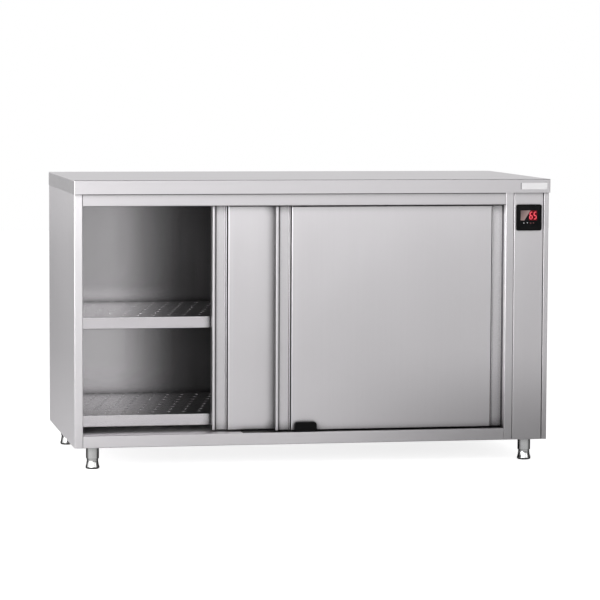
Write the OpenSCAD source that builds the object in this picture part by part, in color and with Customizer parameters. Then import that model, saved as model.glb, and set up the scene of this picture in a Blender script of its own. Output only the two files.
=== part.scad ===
// Heated plate cabinet in folded stainless steel. The front faces -Y, the floor is at Z = 0,
// and the origin is the middle of the footprint.

/* [Overall] */
// Length of the worktop
top_w = 1400; // [1200:10:1800]
// Depth of the worktop
top_d = 700; // [640:10:800]
// Thickness of the worktop
top_t = 40; // [30:1:60]
// Height of the body between the legs and the worktop
body_h = 728; // [680:1:800]
// Gap between the floor and the body
leg_h = 70; // [66:1:90]
// How far the worktop reaches past the front of the body
front_over = 12; // [6:1:20]
// How far the worktop reaches past each side and the back of the body
side_over = 1; // [1:0.5:5]

/* [Sheet metal] */
// Thickness of the outer sheet
sheet = 1.2; // [1:0.1:2]
// Thickness of the inner sheet
liner_t = 1; // [0.8:0.1:1.5]
// Outside radius of a bend in the outer sheet
bend_r = 2.4; // [2.2:0.1:3]
// Gap left at the seams between two folded pieces
seam = 0.3; // [0.2:0.1:0.5]
// Thickness of the insulation behind the linings
insulation_t = 25; // [20:1:35]

// Outside radius of a sharp bend
fine_bend_r = 1.6; // [1.5:0.1:2.2]
// Width of the worktop's return underneath
worktop_return = 20; // [10:1:30]
// Radius of the worktop's ground lower corners
top_corner_r = 4; // [2.5:0.5:4]
// Width of the side panels' returns at the back
back_return = 22; // [15:1:40]

/* [Front frame] */
// Width of the left post
post_w = 25; // [20:1:40]
// Width of the whole column right of the opening
column_w = 130; // [125:1:160]
// Width of the post on the right of the opening
jamb_w = 25; // [20:1:28]
// Width of the right side panel's front edge
flange_w = 15; // [12:1:18]
// Height of the rails above and below the opening
rail_h = 35; // [33:1:50]
// Depth of the returns behind the posts and rails
return_d = 20; // [14:1:21]
// Depth of the step in the sill that the doors run over
sill_step = 2; // [1.5:0.5:4]
// Width of the sill's front ledge
sill_ledge = 6; // [5:1:9]
// Length of the slope from the ledge down to the sill's floor
joggle_w = 4; // [3:0.5:5]

/* [Doors] */
// Thickness of a door
door_t = 28; // [26:1:30]
// Depth of the front door's face behind the body's front
door_set = 24; // [23:1:28]
// Distance from one door's face to the other's
door_pitch = 36; // [35:1:40]
// How far a closed door reaches behind its post
door_tuck = 10; // [6:1:12]
// How far the closed doors overlap
door_overlap = 114; // [100:1:160]
// Gap above a door
door_top_gap = 3; // [2:0.5:5]
// Gap between a door and the sill's front ledge
door_sill_gap = 2; // [1:0.5:4]
// How far the rear door stands open at rest
rear_open = 394; // [300:1:450]
// Width of the front lip of a handle channel
lip_w = 7; // [5:0.5:10]
// Width of the whole handle profile
handle_w = 43.5; // [38:0.5:50]
// Depth of the handle channel
channel_d = 12; // [10:0.5:14]
// Width of the slope behind the lip
ramp_w = 6; // [5:0.5:10]
// Slant of the channel's other side
wall_slant = 2; // [1:0.5:3]
// Width of the rim beside the channel
rim_w = 3; // [2.5:0.5:5]
// Depth of the rim behind the door's face
rim_drop = 7; // [4:0.5:8]
// Return of the handle profile behind the door's edge
edge_return = 12; // [8:1:16]
// Depth of the face panel's folded edges
face_d = 12; // [8:1:15]
// Groove between a handle profile and the door's face panel
groove_w = 2.5; // [2:0.5:6]

/* [Door gear] */
// Radius of a hanger roller
roller_r = 10; // [8:0.5:10.5]
// Width of each of a roller's two wheels
roller_w = 6.5; // [5:0.5:8]
// Radius of a roller's hub
hub_r = 4; // [3:0.25:5]
// Play between a roller's hub and its hanger
hub_play = 0.05; // [0.03:0.01:0.09]
// Thickness of the track's walls
track_t = 2; // [1.5:0.5:2.5]
// Width of the slot that the hangers pass through
slot_w = 8; // [7:0.5:9]
// Thickness of a hanger plate
hanger_t = 3; // [2.5:0.5:4]
// Width of a hanger plate
hanger_w = 36; // [30:1:60]
// Distance of a hanger's middle from the door's edge
hanger_inset = 110; // [60:1:200]
// Gap between a rolling wheel and the track
roll_gap = 0.2; // [0.1:0.05:0.4]
// Width of the floor guide's lug
lug_w = 65; // [50:1:90]
// Height of the floor guide's lug above the sill's ledge
lug_h = 27; // [20:1:35]
// Corner radius of the floor guide's lug
lug_r = 8; // [3:1:12]
// Play between a door and the floor guide
guide_play = 1.5; // [1:0.25:2.5]
// Gap between a door at its stop and the bumper
stop_gap = 0.5; // [0.3:0.1:1]
// Length of the sill strip left of the front door at rest
strip_reach = 97; // [60:1:140]
// Thickness of the sill strip
strip_t = 2; // [1:0.5:2.5]
// Radius of a door bumper
bumper_r = 8; // [6:0.5:10]

/* [Shelves] */
// Height of the lower shelf's top above the body's underside
shelf_low = 82; // [76:1:120]
// Distance from the lower shelf's top to the upper shelf's top
shelf_rise = 285; // [240:1:330]
// Height of a shelf's folded front
shelf_lip = 34; // [25:1:40]
// Thickness of a shelf's sheet
shelf_t = 1.2; // [1:0.1:2]
// Gap between a shelf and the walls
shelf_gap = 1.5; // [1:0.5:3]
// Radius of a shelf's perforations
hole_r = 6; // [4:0.5:8]
// Spacing of the perforations along a row
hole_pitch = 45; // [36:1:60]
// Spacing of the rows of perforations
row_pitch = 62; // [56:1:68]
// Number of rows of perforations
hole_rows = 8; // [6:2:8]
// Width of the fold under a shelf's front edge
shelf_return = 12; // [6:1:18]
// Width of a shelf support's ledge
ledge_w = 18; // [14:1:20]
// Width of the channel under a shelf
stiffener_w = 20; // [16:2:30]
// Depth of the channel under a shelf
stiffener_h = 22; // [16:1:28]

/* [Heating] */
// Height of the fan's axis above the body's underside
fan_z = 212; // [200:1:225]
// Distance of the fan's axis behind the body's middle
fan_y = 40; // [0:1:60]
// Radius of the fan wheel
fan_r = 75; // [60:1:80]
// Width of the fan wheel's blades
blade_w = 30; // [22:1:34]
// Number of blades
blades = 20; // [16:1:24]
// Radius of the ring heater
ring_r = 95; // [90:1:98]
// Radius of the heater's tube
tube_r = 4; // [3:0.25:4.5]
// Radius of the sleeves on the heater's ends
sleeve_r = 5; // [4.6:0.2:6]
// Radius of the air inlet
inlet_r = 60; // [50:1:64]
// Width of an air outlet slot
outlet_w = 70; // [40:5:80]
// Height of an air outlet slot
outlet_h = 6; // [4:1:10]
// Spacing of the air outlet slots
outlet_pitch = 18; // [14:1:18]
// Number of rows of air outlet slots
outlets = 12; // [6:1:12]
// Number of columns of air outlet slots
outlet_cols = 3; // [1:2:3]
// Height of the lowest outlet slots above the upper shelf
outlet_rise = 60; // [50:5:70]
// Distance of the air sensor from the chamber's back
probe_back = 118; // [100:1:140]
// Height of the air sensor above the upper shelf
probe_rise = 200; // [150:5:240]
// Distance of the cut-out below the duct's top
cutoff_drop = 90; // [80:5:110]
// Distance of the cut-out from the duct's front
cutoff_in = 30; // [20:1:40]
// Radius of the wire of the inlet's guard
wire_r = 1.5; // [1:0.25:2]
// Width of the air duct's flange
duct_flange = 12; // [8:1:20]
// Length of the fan motor
motor_l = 44; // [42:1:50]
// Length of the fan's shaft inside the motor
shaft_l = 20; // [12:1:30]
// Depth of the air duct behind the chamber's wall
duct_d = 60; // [54:1:62]
// Radius of the fan's shaft
shaft_r = 4; // [3:0.5:5]
// Play between the shaft and the motor's bearing
shaft_play = 0.05; // [0.03:0.01:0.09]
// Radius of the fan motor
motor_r = 38; // [32:1:42]

/* [Controls] */
// Width and height of the thermostat's frame
bezel_w = 76; // [70:1:78]
// Corner radius of the thermostat's frame
bezel_r = 5; // [3:0.5:8]
// How far the thermostat's frame stands out
bezel_t = 4; // [3:0.5:6]
// Depth of the thermostat's housing
housing_d = 55; // [40:1:70]
// Distance from the worktop's underside to the thermostat
bezel_drop = 35; // [28:1:60]
// Radius of the supply cord's passage in its gland
cord_r = 5; // [4:0.5:6]
// Radius of the cable gland's threaded body
gland_r = 10; // [9:0.5:12]

// Distance of the gland from the body's right side
gland_side = 55; // [50:1:70]
// Distance of the gland from the body's back
gland_back = 120; // [100:1:140]
// Distance of the supply terminals in front of the gland
terminal_ahead = 100; // [90:1:120]
// Height of the gland's nuts
nut_h = 6; // [5:0.5:8]
// Width of a vent slot in the back
vent_w = 60; // [30:5:70]
// Height of a vent slot
vent_h = 5; // [3:0.5:8]
// Spacing of the vent slots
vent_pitch = 14; // [10:1:20]
// Number of vent slots
vents = 6; // [3:1:10]
// Distance of the first vent slot below the body's top
vent_drop = 60; // [50:5:80]

/* [Legs] */
// Outer radius of a leg tube
leg_r = 19; // [17:0.5:22]
// Wall of a leg tube
leg_wall = 1.5; // [1.2:0.1:2]
// Play between a foot and its tube
foot_play = 0.08; // [0.05:0.01:0.1]
// Height of a foot below its tube
foot_h = 30; // [26:1:34]
// Radius of a foot's sole
sole_r = 20.5; // [19:0.5:24]
// Radius of a foot's neck
neck_r = 16.6; // [15:0.2:17]
// Width of the plate over each leg
plate_w = 80; // [60:2:82]
// Length of the spigot inside a leg's tube
spigot_h = 10; // [6:1:14]
// Distance of the front legs behind the body's front
leg_front = 88; // [60:1:100]
// Distance of the rear legs from the body's back
leg_rear = 49; // [40:1:80]
// Distance of the front left leg from the body's left side
leg_left = 62; // [45:1:90]
// Distance of the rear left leg from the body's left side
leg_left_rear = 48; // [45:1:90]
// Distance of the right legs from the body's right side
leg_right = 44; // [44:1:90]

/* [Hidden] */
$fn = 64;
eps = 0.01;

steel = [0.76, 0.76, 0.77];
liner_steel = [0.66, 0.66, 0.67];
black_plastic = [0.06, 0.06, 0.065];

// The body's box, and the plane of each wall
body_w = top_w - 2 * side_over;
left_x = -body_w / 2;
right_x = body_w / 2;
front_y = -top_d / 2 + front_over;
back_y = top_d / 2 - side_over;
base_z = leg_h;
roof_z = base_z + body_h;
open_l = left_x + post_w;
open_r = right_x - column_w;
open_b = base_z + rail_h;
open_t = roof_z - rail_h;

// The control column's cover, with a groove beside the right side panel's edge
panel_l = open_r + jamb_w + seam;
panel_r = right_x - flange_w - 1.5;
panel_mid = (panel_l + panel_r) / 2;
cutout_w = bezel_w - 6;
window_w = bezel_w - 8;
bezel_z = roof_z - bezel_drop - bezel_w;

// The legs, and the supply cord's gland in the machine bay's floor
leg_spots = [
    [left_x + leg_left, front_y + leg_front],
    [right_x - leg_right, front_y + leg_front],
    [left_x + leg_left_rear, back_y - leg_rear],
    [right_x - leg_right, back_y - leg_rear],
];
spigot_r = leg_r - leg_wall - seam;
sleeve_h = leg_h - foot_h;
gland_at = [right_x - gland_side, back_y - gland_back];

// The doors. A door is drawn with its left edge at X = 0 and its face at Y = 0.
front_face_y = front_y + door_set;
rear_face_y = front_face_y + door_pitch;
door_w = (open_r - open_l + 2 * door_tuck + door_overlap) / 2;
door_b = open_b + door_sill_gap;
door_h = open_t - door_top_gap - door_b;
front_door_x = open_r + door_tuck - door_w;
rear_door_x = open_l - door_tuck + rear_open;
stem_y = door_t / 2;

guide_x = (open_l + open_r) / 2 + 30 - lug_w / 2;

// The chamber behind the doors
chamber_y = rear_face_y + door_t + 12;
floor_z = open_b - sill_step;
lane_y = front_y + sill_ledge + joggle_w + sheet;
ceiling_z = open_t + 2;
wall_y = back_y - insulation_t - liner_t;
wall_x = open_r + 3;
door_bay_x = open_r + door_tuck + 4;
track_y = front_y + return_d + seam;
track_w = door_pitch + door_t + 6 + track_t;
axle_z = open_t + track_t + 2 + roller_r + roll_gap;

// Each shelf
shelf_x = open_l + shelf_gap;
shelf_w = wall_x - open_l - 2 * shelf_gap;
shelf_y = chamber_y + 2;
shelf_d = wall_y - shelf_y - shelf_gap;
shelf_tops = [base_z + shelf_low, base_z + shelf_low + shelf_rise];

// The fan and its duct
fan_at = [wall_x, (front_y + back_y) / 2 + fan_y, base_z + fan_z];
duct_back = wall_x + liner_t + duct_d;
duct_y = [chamber_y + 40, wall_y - 30];
duct_z = [floor_z + 40, ceiling_z - 25];

// The heater's ends, and the angle that they leave open in its ring
end_gap = 12;
end_a = asin(end_gap / ring_r);
end_z = -ring_r * cos(end_a);

// Bending a line of sheet: each corner becomes an arc of bend_n chords
bend_n = 4;
function unit(v) = v / norm(v);
function left_of(v) = [-v[1], v[0]];
function turn_of(a, b) = atan2(a[0] * b[1] - a[1] * b[0], a * b);
function spun(v, a) = [v[0] * cos(a) - v[1] * sin(a), v[0] * sin(a) + v[1] * cos(a)];
function corner(p, q, s, r) =
    let (a = unit(q - p))
    let (b = unit(s - q))
    let (turn = turn_of(a, b))
    let (room = 0.45 * min(norm(q - p), norm(s - q)))
    let (reach = min(r * tan(abs(turn) / 2), room))
    let (bend = reach / tan(abs(turn) / 2))
    let (out = left_of(a) * sign(turn))
    let (mid = q - a * reach + out * bend)
    [for (k = [0 : bend_n]) mid + spun(-out * bend, turn * k / bend_n)];
function bent(p, r) = concat(
    [p[0]],
    [for (i = [1 : len(p) - 2]) each corner(p[i - 1], p[i], p[i + 1], r)],
    [p[len(p) - 1]]
);
// The same line one sheet thickness to its left, with each point on the bisector of its corner
function normal_at(p, i) =
    i == 0 ? left_of(unit(p[1] - p[0])) :
    i == len(p) - 1 ? left_of(unit(p[i] - p[i - 1])) :
    let (a = left_of(unit(p[i] - p[i - 1])))
    let (b = left_of(unit(p[i + 1] - p[i])))
    (a + b) / (1 + a * b);
function thick(p, t) = concat(p, [for (i = [len(p) - 1 : -1 : 0]) p[i] + t * normal_at(p, i)]);

// A folded sheet standing upright, its plan given as the outer line
module folded_up(line, t, h, r = bend_r) {
    linear_extrude(height = h) polygon(thick(bent(line, r), t));
}

// A folded sheet lying along X, its section given as [Y, Z] points
module folded_along(line, t, w, r = bend_r) {
    rotate([90, 0, 90]) linear_extrude(height = w) polygon(thick(bent(line, r), t));
}

// A rectangle with round corners
module round_rect(w, h, r) {
    translate([r, 0]) square([w - 2 * r, h]);
    translate([0, r]) square([w, h - 2 * r]);
    for (x = [r, w - r], y = [r, h - r]) translate([x, y]) circle(r = r);
}

// A block whose front edges are rolled, front being -Y
module rolled_block(w, d, h, r) {
    intersection() {
        linear_extrude(height = h) {
            translate([r, 0]) square([w - 2 * r, d]);
            translate([0, r]) square([w, d - r]);
            for (x = [r, w - r]) translate([x, r]) circle(r = r);
        }
        rotate([90, 0, 90]) linear_extrude(height = w) {
            translate([r, 0]) square([d - r, h]);
            translate([0, r]) square([d, h - 2 * r]);
            for (z = [r, h - r]) translate([r, z]) circle(r = r);
        }
    }
}

// A cylinder along X or Y, from its given end
module rod_x(r, l) { rotate([0, 90, 0]) cylinder(r = r, h = l); }
module rod_y(r, l) { rotate([-90, 0, 0]) cylinder(r = r, h = l); }

// ---- Worktop

// One sheet turned down on all four sides and back under, with ground corners
module worktop() {
    pocket_w = top_w - 2 * sheet;
    pocket_d = top_d - 2 * sheet;
    color(steel) translate([-top_w / 2, -top_d / 2, roof_z]) difference() {
        intersection() {
            linear_extrude(height = top_t) round_rect(top_w, top_d, bend_r);
            rotate([90, 0, 90]) linear_extrude(height = top_w) {
                square([top_d, top_t - bend_r]);
                translate([bend_r, 0]) square([top_d - 2 * bend_r, top_t]);
                for (y = [bend_r, top_d - bend_r]) translate([y, top_t - bend_r]) circle(r = bend_r);
            }
            translate([0, top_d, 0]) rotate([90, 0, 0]) linear_extrude(height = top_d) {
                square([top_w, top_t - bend_r]);
                translate([bend_r, 0]) square([top_w - 2 * bend_r, top_t]);
                for (x = [bend_r, top_w - bend_r]) translate([x, top_t - bend_r]) circle(r = bend_r);
            }
        }
        translate([sheet, sheet, sheet]) cube([pocket_w, pocket_d, top_t - 2 * sheet]);
        translate([worktop_return, worktop_return, -1])
            cube([top_w - 2 * worktop_return, top_d - 2 * worktop_return, sheet + 2]);
    }
}

// Sound-deadening board glued inside the worktop, stepped down between its returns
module worktop_core() {
    gap = sheet + seam;
    inset = worktop_return + seam;
    color([0.55, 0.42, 0.28]) translate([-top_w / 2, -top_d / 2, roof_z]) {
        translate([gap, gap, gap])
            cube([top_w - 2 * gap, top_d - 2 * gap, top_t - 2 * gap]);
        translate([inset, inset, 0])
            cube([top_w - 2 * inset, top_d - 2 * inset, gap + eps]);
    }
}

// ---- Body shell

// The left side panel turns round the front to make the left post, and in again as its jamb
module side_panel_left() {
    color(steel) translate([0, 0, base_z]) folded_up([
        [open_l, front_y + return_d], [open_l, front_y], [left_x, front_y],
        [left_x, back_y], [left_x + back_return, back_y],
    ], -sheet, body_h);
}

module side_panel_right() {
    color(steel) translate([0, 0, base_z]) folded_up([
        [right_x - flange_w, front_y + return_d], [right_x - flange_w, front_y],
        [right_x, front_y], [right_x, back_y], [right_x - back_return, back_y],
    ], sheet, body_h);
}

// Back sheet between the side panels' returns, with the machine bay's vents
module back_panel() {
    edge = back_return + seam;
    color(steel) difference() {
        translate([left_x + edge, back_y - sheet, base_z])
            cube([body_w - 2 * edge, sheet, body_h]);
        for (i = [0 : vents - 1])
            translate([gland_at[0] - vent_w / 2, back_y - sheet - 1, roof_z - 60 - i * vent_pitch])
                cube([vent_w, sheet + 2, vent_h]);
    }
}

// Where the base closes the feet of the posts, between one wall and the next
foot_tabs = [
    [left_x, open_l], [open_r, open_r + jamb_w - seam], [panel_l, panel_r],
    [right_x - flange_w, right_x],
];

// Underside sheet, with tabs into the posts' feet and a hole for each spigot and the gland
module base_panel() {
    inset = sheet + seam;
    color(steel) difference() {
        union() {
            translate([left_x + inset, front_y + return_d + seam, base_z])
                cube([body_w - 2 * inset, back_y - front_y - return_d - 2 * seam - sheet, sheet]);
            for (x = foot_tabs) translate([x[0] + inset, front_y + inset, base_z])
                cube([x[1] - x[0] - 2 * inset, return_d, sheet]);
        }
        for (p = leg_spots) translate([p[0], p[1], base_z - 1])
            cylinder(r = spigot_r + seam, h = sheet + 2);
        translate([gland_at[0], gland_at[1], base_z - 1])
            cylinder(r = gland_r + seam, h = sheet + 2);
    }
}

// Front rail and sill in one piece: the ledge, the joggle down and the floor the doors pass over
module bottom_rail() {
    color(steel) translate([open_l + seam, 0, 0]) folded_along([
        [front_y + return_d, base_z], [front_y, base_z], [front_y, open_b],
        [front_y + sill_ledge, open_b], [front_y + sill_ledge + joggle_w, floor_z],
        [chamber_y - seam, floor_z],
    ], -sheet, open_r - open_l - 2 * seam);
}

module top_rail() {
    color(steel) translate([open_l + seam, 0, 0]) folded_along([
        [front_y + return_d, roof_z], [front_y, roof_z], [front_y, open_t],
        [front_y + return_d - 6, open_t], [front_y + return_d - 6, open_t + 8],
    ], sheet, open_r - open_l - 2 * seam);
}

// U-shaped post right of the opening, over the full height
module post_right() {
    color(steel) translate([0, 0, base_z]) folded_up([
        [open_r, front_y + return_d], [open_r, front_y],
        [open_r + jamb_w - seam, front_y], [open_r + jamb_w - seam, front_y + return_d],
    ], sheet, body_h);
}

// Removable cover of the control column, cut out for the thermostat
module control_panel() {
    side = (bezel_w - cutout_w) / 2;
    color(steel) difference() {
        translate([0, 0, base_z]) folded_up([
            [panel_l, front_y + return_d], [panel_l, front_y],
            [panel_r, front_y], [panel_r, front_y + return_d],
        ], sheet, body_h);
        translate([panel_mid - cutout_w / 2, front_y - 1, bezel_z + side])
            cube([cutout_w, sheet + 2, cutout_w]);
    }
}

// ---- Chamber linings

module liner_left() {
    color(liner_steel) translate([0, 0, floor_z]) folded_up([
        [left_x + sheet + seam, chamber_y], [open_l, chamber_y], [open_l, wall_y - seam],
    ], liner_t, ceiling_z - floor_z - seam, liner_t * 2);
}

// The wall between the chamber and the machine bay, jogged round the doors' end,
// with the fan's inlet and the rows of outlet slots above the upper shelf
module partition() {
    outlet_z = shelf_tops[1] + outlet_rise;
    color(liner_steel) difference() {
        translate([0, 0, floor_z]) folded_up([
            [door_bay_x, front_y + return_d + 6], [door_bay_x, chamber_y],
            [wall_x, chamber_y], [wall_x, wall_y - seam],
        ], -liner_t, ceiling_z - floor_z - seam, liner_t * 2);
        translate([wall_x - 1, fan_at[1], fan_at[2]]) rod_x(inlet_r, liner_t + 2);
        for (i = [0 : outlets - 1], j = [0 : outlet_cols - 1])
            translate([wall_x - 1, fan_at[1] - outlet_w / 2 + (j - 1) * (outlet_w + 25),
                outlet_z + i * outlet_pitch])
                cube([liner_t + 2, outlet_w, outlet_h]);
    }
}

module liner_back() {
    color(liner_steel) translate([open_l + seam, wall_y, floor_z])
        cube([wall_x - open_l - 2 * seam, liner_t, ceiling_z - floor_z - seam]);
}

module liner_roof() {
    color(liner_steel) translate([open_l - liner_t, chamber_y, ceiling_z])
        cube([wall_x - open_l + 2 * liner_t, wall_y + liner_t - chamber_y, liner_t]);
}

module floor_panel() {
    color(liner_steel) translate([open_l + seam, 0, 0]) folded_along([
        [chamber_y, floor_z - 12], [chamber_y, floor_z],
        [wall_y - seam, floor_z], [wall_y - seam, floor_z - 12],
    ], -liner_t, wall_x - open_l - 2 * seam, liner_t * 2);
}

// Mineral-wool boards behind the left, back and roof linings
module insulation() {
    behind = wall_y + liner_t + seam;
    above = ceiling_z + liner_t + seam;
    color([0.85, 0.8, 0.55]) {
        translate([left_x + sheet + seam, chamber_y + 2, floor_z])
            cube([open_l - liner_t - left_x - sheet - 2 * seam, wall_y - chamber_y - 2 - seam,
                ceiling_z - floor_z]);
        translate([left_x + bend_r + seam, behind, floor_z])
            cube([wall_x - left_x - bend_r, back_y - sheet - seam - behind, ceiling_z - floor_z]);
        translate([open_l, track_y + track_w + seam, above])
            cube([wall_x - open_l, wall_y - track_y - track_w - seam, roof_z - seam - above]);
    }
}

// ---- Door gear

// Twin top track: two lanes, each open below in a slot between the lips that the rollers run on
module door_track() {
    track_h = roof_z - open_t - 2;
    lane_w = (track_w - 3 * track_t) / 2;
    color(steel) difference() {
        translate([left_x + sheet + seam, track_y, open_t + 2])
            cube([door_bay_x - left_x - sheet - 2 * seam, track_w, track_h]);
        for (i = [0, 1]) {
            translate([left_x, track_y + track_t + i * (lane_w + track_t), open_t + 2 + track_t])
                cube([body_w, lane_w, track_h - 2 * track_t]);
            translate([left_x, front_face_y + stem_y + i * door_pitch - slot_w / 2, open_t])
                cube([body_w, slot_w, track_t + 4]);
        }
    }
}

// Wear strip lying in the sill under the front door's lane
module sill_strip() {
    start = front_door_x - strip_reach;
    color(black_plastic) difference() {
        translate([start, lane_y, floor_z])
            cube([open_r - start - 1, rear_face_y - 2 - lane_y, strip_t]);
        translate([guide_x - seam, lane_y - 1, floor_z - 1])
            cube([lug_w + 2 * seam, rear_face_y - lane_y, strip_t + 2]);
    }
}

// Floor guide: a foot plate with a finger before, between and behind the doors' bottom edges
module door_guide() {
    fingers = [
        [lane_y, front_face_y - guide_play],
        [front_face_y + door_t + guide_play, rear_face_y - guide_play],
        [rear_face_y + door_t + guide_play, chamber_y - 1],
    ];
    color(black_plastic) translate([guide_x, 0, floor_z]) {
        translate([0, lane_y, 0]) cube([lug_w, chamber_y - 1 - lane_y, strip_t]);
        for (f = fingers) translate([0, f[1], 0]) rotate([90, 0, 0])
            linear_extrude(height = f[1] - f[0]) {
                square([lug_w, sill_step + lug_h - lug_r]);
                round_rect(lug_w, sill_step + lug_h, lug_r);
            }
    }
}

// Rubber bumpers at both ends of both lanes, low and high
module door_stops() {
    left_face = left_x + sheet;
    left_l = open_l - door_tuck - stop_gap - left_face;
    right_l = door_bay_x - open_r - door_tuck - stop_gap;
    color([0.05, 0.05, 0.05])
    for (y = [front_face_y, rear_face_y], z = [door_b + 60, door_b + door_h - 60]) {
        translate([left_face, y + door_t / 2, z]) rod_x(bumper_r, left_l);
        translate([door_bay_x - right_l, y + door_t / 2, z]) rod_x(bumper_r, right_l);
    }
}

// ---- Doors

// Handle profile: lip, sloped side, channel and low rim, with a back return to the lining
module handle_profile() {
    channel_end = handle_w - rim_w - wall_slant;
    back = door_t - liner_t - seam;
    cap = liner_t + seam;
    translate([0, 0, door_b + cap]) folded_up([
        [edge_return, back], [0, back], [0, 0], [lip_w, 0], [lip_w + ramp_w, channel_d],
        [channel_end, channel_d], [channel_end + wall_slant, rim_drop], [handle_w, rim_drop],
        [handle_w, channel_d + 4],
    ], sheet, door_h - 2 * cap, fine_bend_r);
}

module handle_left() { color(steel) handle_profile(); }
module handle_right() { color(steel) translate([door_w, 0, 0]) mirror([1, 0, 0]) handle_profile(); }

// Face panel: a shallow pan, its edges folded back on all four sides
module door_face() {
    x = handle_w + groove_w;
    w = door_w - 2 * x;
    color(steel) translate([x, 0, door_b]) difference() {
        rolled_block(w, face_d, door_h, bend_r);
        translate([sheet, sheet, sheet])
            cube([w - 2 * sheet, face_d, door_h - 2 * sheet]);
    }
}

// Inner sheet, closing the door's back and turned forward over its top and bottom edges
module door_inner() {
    front = channel_d + sheet + 2;
    color(liner_steel) folded_along([
        [front, door_b], [door_t, door_b], [door_t, door_b + door_h], [front, door_b + door_h],
    ], liner_t, door_w, 2 * liner_t);
}

// Insulating board that fills the door between the handle profiles
module door_core() {
    x = handle_w + groove_w + sheet + seam;
    color([0.85, 0.8, 0.55]) translate([x, sheet + seam, door_b + sheet + seam])
        cube([door_w - 2 * x, door_t - liner_t - sheet - 2 * seam, door_h - 2 * (sheet + seam)]);
}

// The two hangers: a foot on the door's top edge and a stem that carries the roller's hub
module door_hangers() {
    foot_z = door_b + door_h;
    foot_d = door_t - stem_y + hanger_t / 2;
    stem_h = axle_z + roller_r * 0.8 - foot_z;
    color(steel) for (x = [hanger_inset, door_w - hanger_inset])
        translate([x, stem_y - hanger_t / 2, foot_z]) difference() {
            union() {
                translate([-hanger_w / 2, 0, 0]) cube([hanger_w, foot_d, open_t - foot_z]);
                translate([0, hanger_t, 0]) rotate([90, 0, 0]) linear_extrude(height = hanger_t)
                    polygon([
                        [-hanger_w / 2, 0], [hanger_w / 2, 0], [hub_r * 2, stem_h - hub_r],
                        [hub_r, stem_h], [-hub_r, stem_h], [-hub_r * 2, stem_h - hub_r],
                    ]);
            }
            translate([0, -1, axle_z - foot_z]) rod_y(hub_r + hub_play, hanger_t + 2);
        }
}

// One roller: two crowned wheels joined by the hub that turns in the hanger
module roller(x) {
    side = hanger_t / 2 + 0.5;
    color([0.9, 0.9, 0.88]) translate([x, stem_y, axle_z]) rotate([-90, 0, 0]) {
        translate([0, 0, -side - roller_w / 2]) cylinder(r = hub_r, h = 2 * side + roller_w);
        for (s = [-1, 1]) translate([0, 0, s * (side + roller_w / 2)]) rotate_extrude()
            polygon([
                [0, -roller_w / 2], [roller_r - 1, -roller_w / 2], [roller_r, 1 - roller_w / 2],
                [roller_r, roller_w / 2 - 1], [roller_r - 1, roller_w / 2], [0, roller_w / 2],
            ]);
    }
}

// Puts a door piece where the door stands at rest
module at_front_door() { translate([front_door_x, front_face_y, 0]) children(); }
module at_rear_door() { translate([rear_door_x, rear_face_y, 0]) children(); }

// ---- Shelves

// Perforated sheet: each row of holes is shifted by a third of the spacing from the last
module perforations(w, d) {
    cols = floor((w - 2 * ledge_w - 2 * hole_r - 20) / hole_pitch);
    run = (cols - 1) * hole_pitch;
    for (j = [0 : hole_rows - 1], i = [0 : cols - 1])
        let (shift = ((j % 3) - 1) * hole_pitch / 3)
        translate([(w - run) / 2 + i * hole_pitch + shift, d / 2 + (j - (hole_rows - 1) / 2) * row_pitch])
            circle(r = hole_r, $fn = 24);
}

// A shelf: the perforated plate and its folded front and back edges
module shelf(z) {
    color(liner_steel) translate([shelf_x, 0, z]) {
        translate([0, shelf_y + bend_r, -shelf_t]) linear_extrude(height = shelf_t) difference() {
            square([shelf_w, shelf_d - 2 * bend_r]);
            translate([0, -bend_r]) perforations(shelf_w, shelf_d);
        }
        folded_along([
            [shelf_y + shelf_return, -shelf_lip], [shelf_y, -shelf_lip],
            [shelf_y, 0], [shelf_y + bend_r + 1, 0],
        ], -shelf_t, shelf_w);
        folded_along([
            [shelf_y + shelf_d - bend_r - 1, 0], [shelf_y + shelf_d, 0],
            [shelf_y + shelf_d, -shelf_lip],
        ], -shelf_t, shelf_w);
    }
}

// Hat channel along the middle of each shelf, between two rows of holes
module shelf_stiffeners() {
    mid = shelf_y + shelf_d / 2;
    w = shelf_w - 2 * ledge_w - 4;
    half = stiffener_w / 2;
    color(liner_steel) for (z = shelf_tops) translate([shelf_x + ledge_w + 2, 0, z - shelf_t])
        folded_along([
            [mid - stiffener_w, 0], [mid - half, 0], [mid - half, -stiffener_h],
            [mid + half, -stiffener_h], [mid + half, 0], [mid + stiffener_w, 0],
        ], -shelf_t, w, shelf_t * 1.5);
}

// Angles on both walls that the shelves' ends lie on
module shelf_supports() {
    d = shelf_d - 2 * shelf_return - 16;
    y = shelf_y + shelf_return + 8;
    leg = 26;
    color(liner_steel) for (z = shelf_tops) {
        translate([open_l, y + d, z - shelf_t]) rotate([90, 0, 0]) linear_extrude(height = d)
            polygon(thick([[0, -leg], [0, 0], [ledge_w, 0]], -1.5));
        translate([wall_x, y + d, z - shelf_t]) rotate([90, 0, 0]) linear_extrude(height = d)
            polygon(thick([[0, -leg], [0, 0], [-ledge_w, 0]], 1.5));
    }
}

// ---- Heating

// Round wire guard over the fan's inlet
module air_grille() {
    rings = [for (i = [1 : 4]) inlet_r * i / 4 + 4];
    color(steel) translate([wall_x - 2 * wire_r, fan_at[1], fan_at[2]]) rotate([0, 90, 0]) {
        for (r = rings) rotate_extrude() translate([r, wire_r]) circle(r = wire_r, $fn = 16);
        for (a = [0 : 90 : 270]) rotate([0, 0, a]) translate([rings[0] - wire_r, 0, wire_r])
            rod_x(wire_r * 0.9, inlet_r + 8 - rings[0] + wire_r);
    }
}

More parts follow.
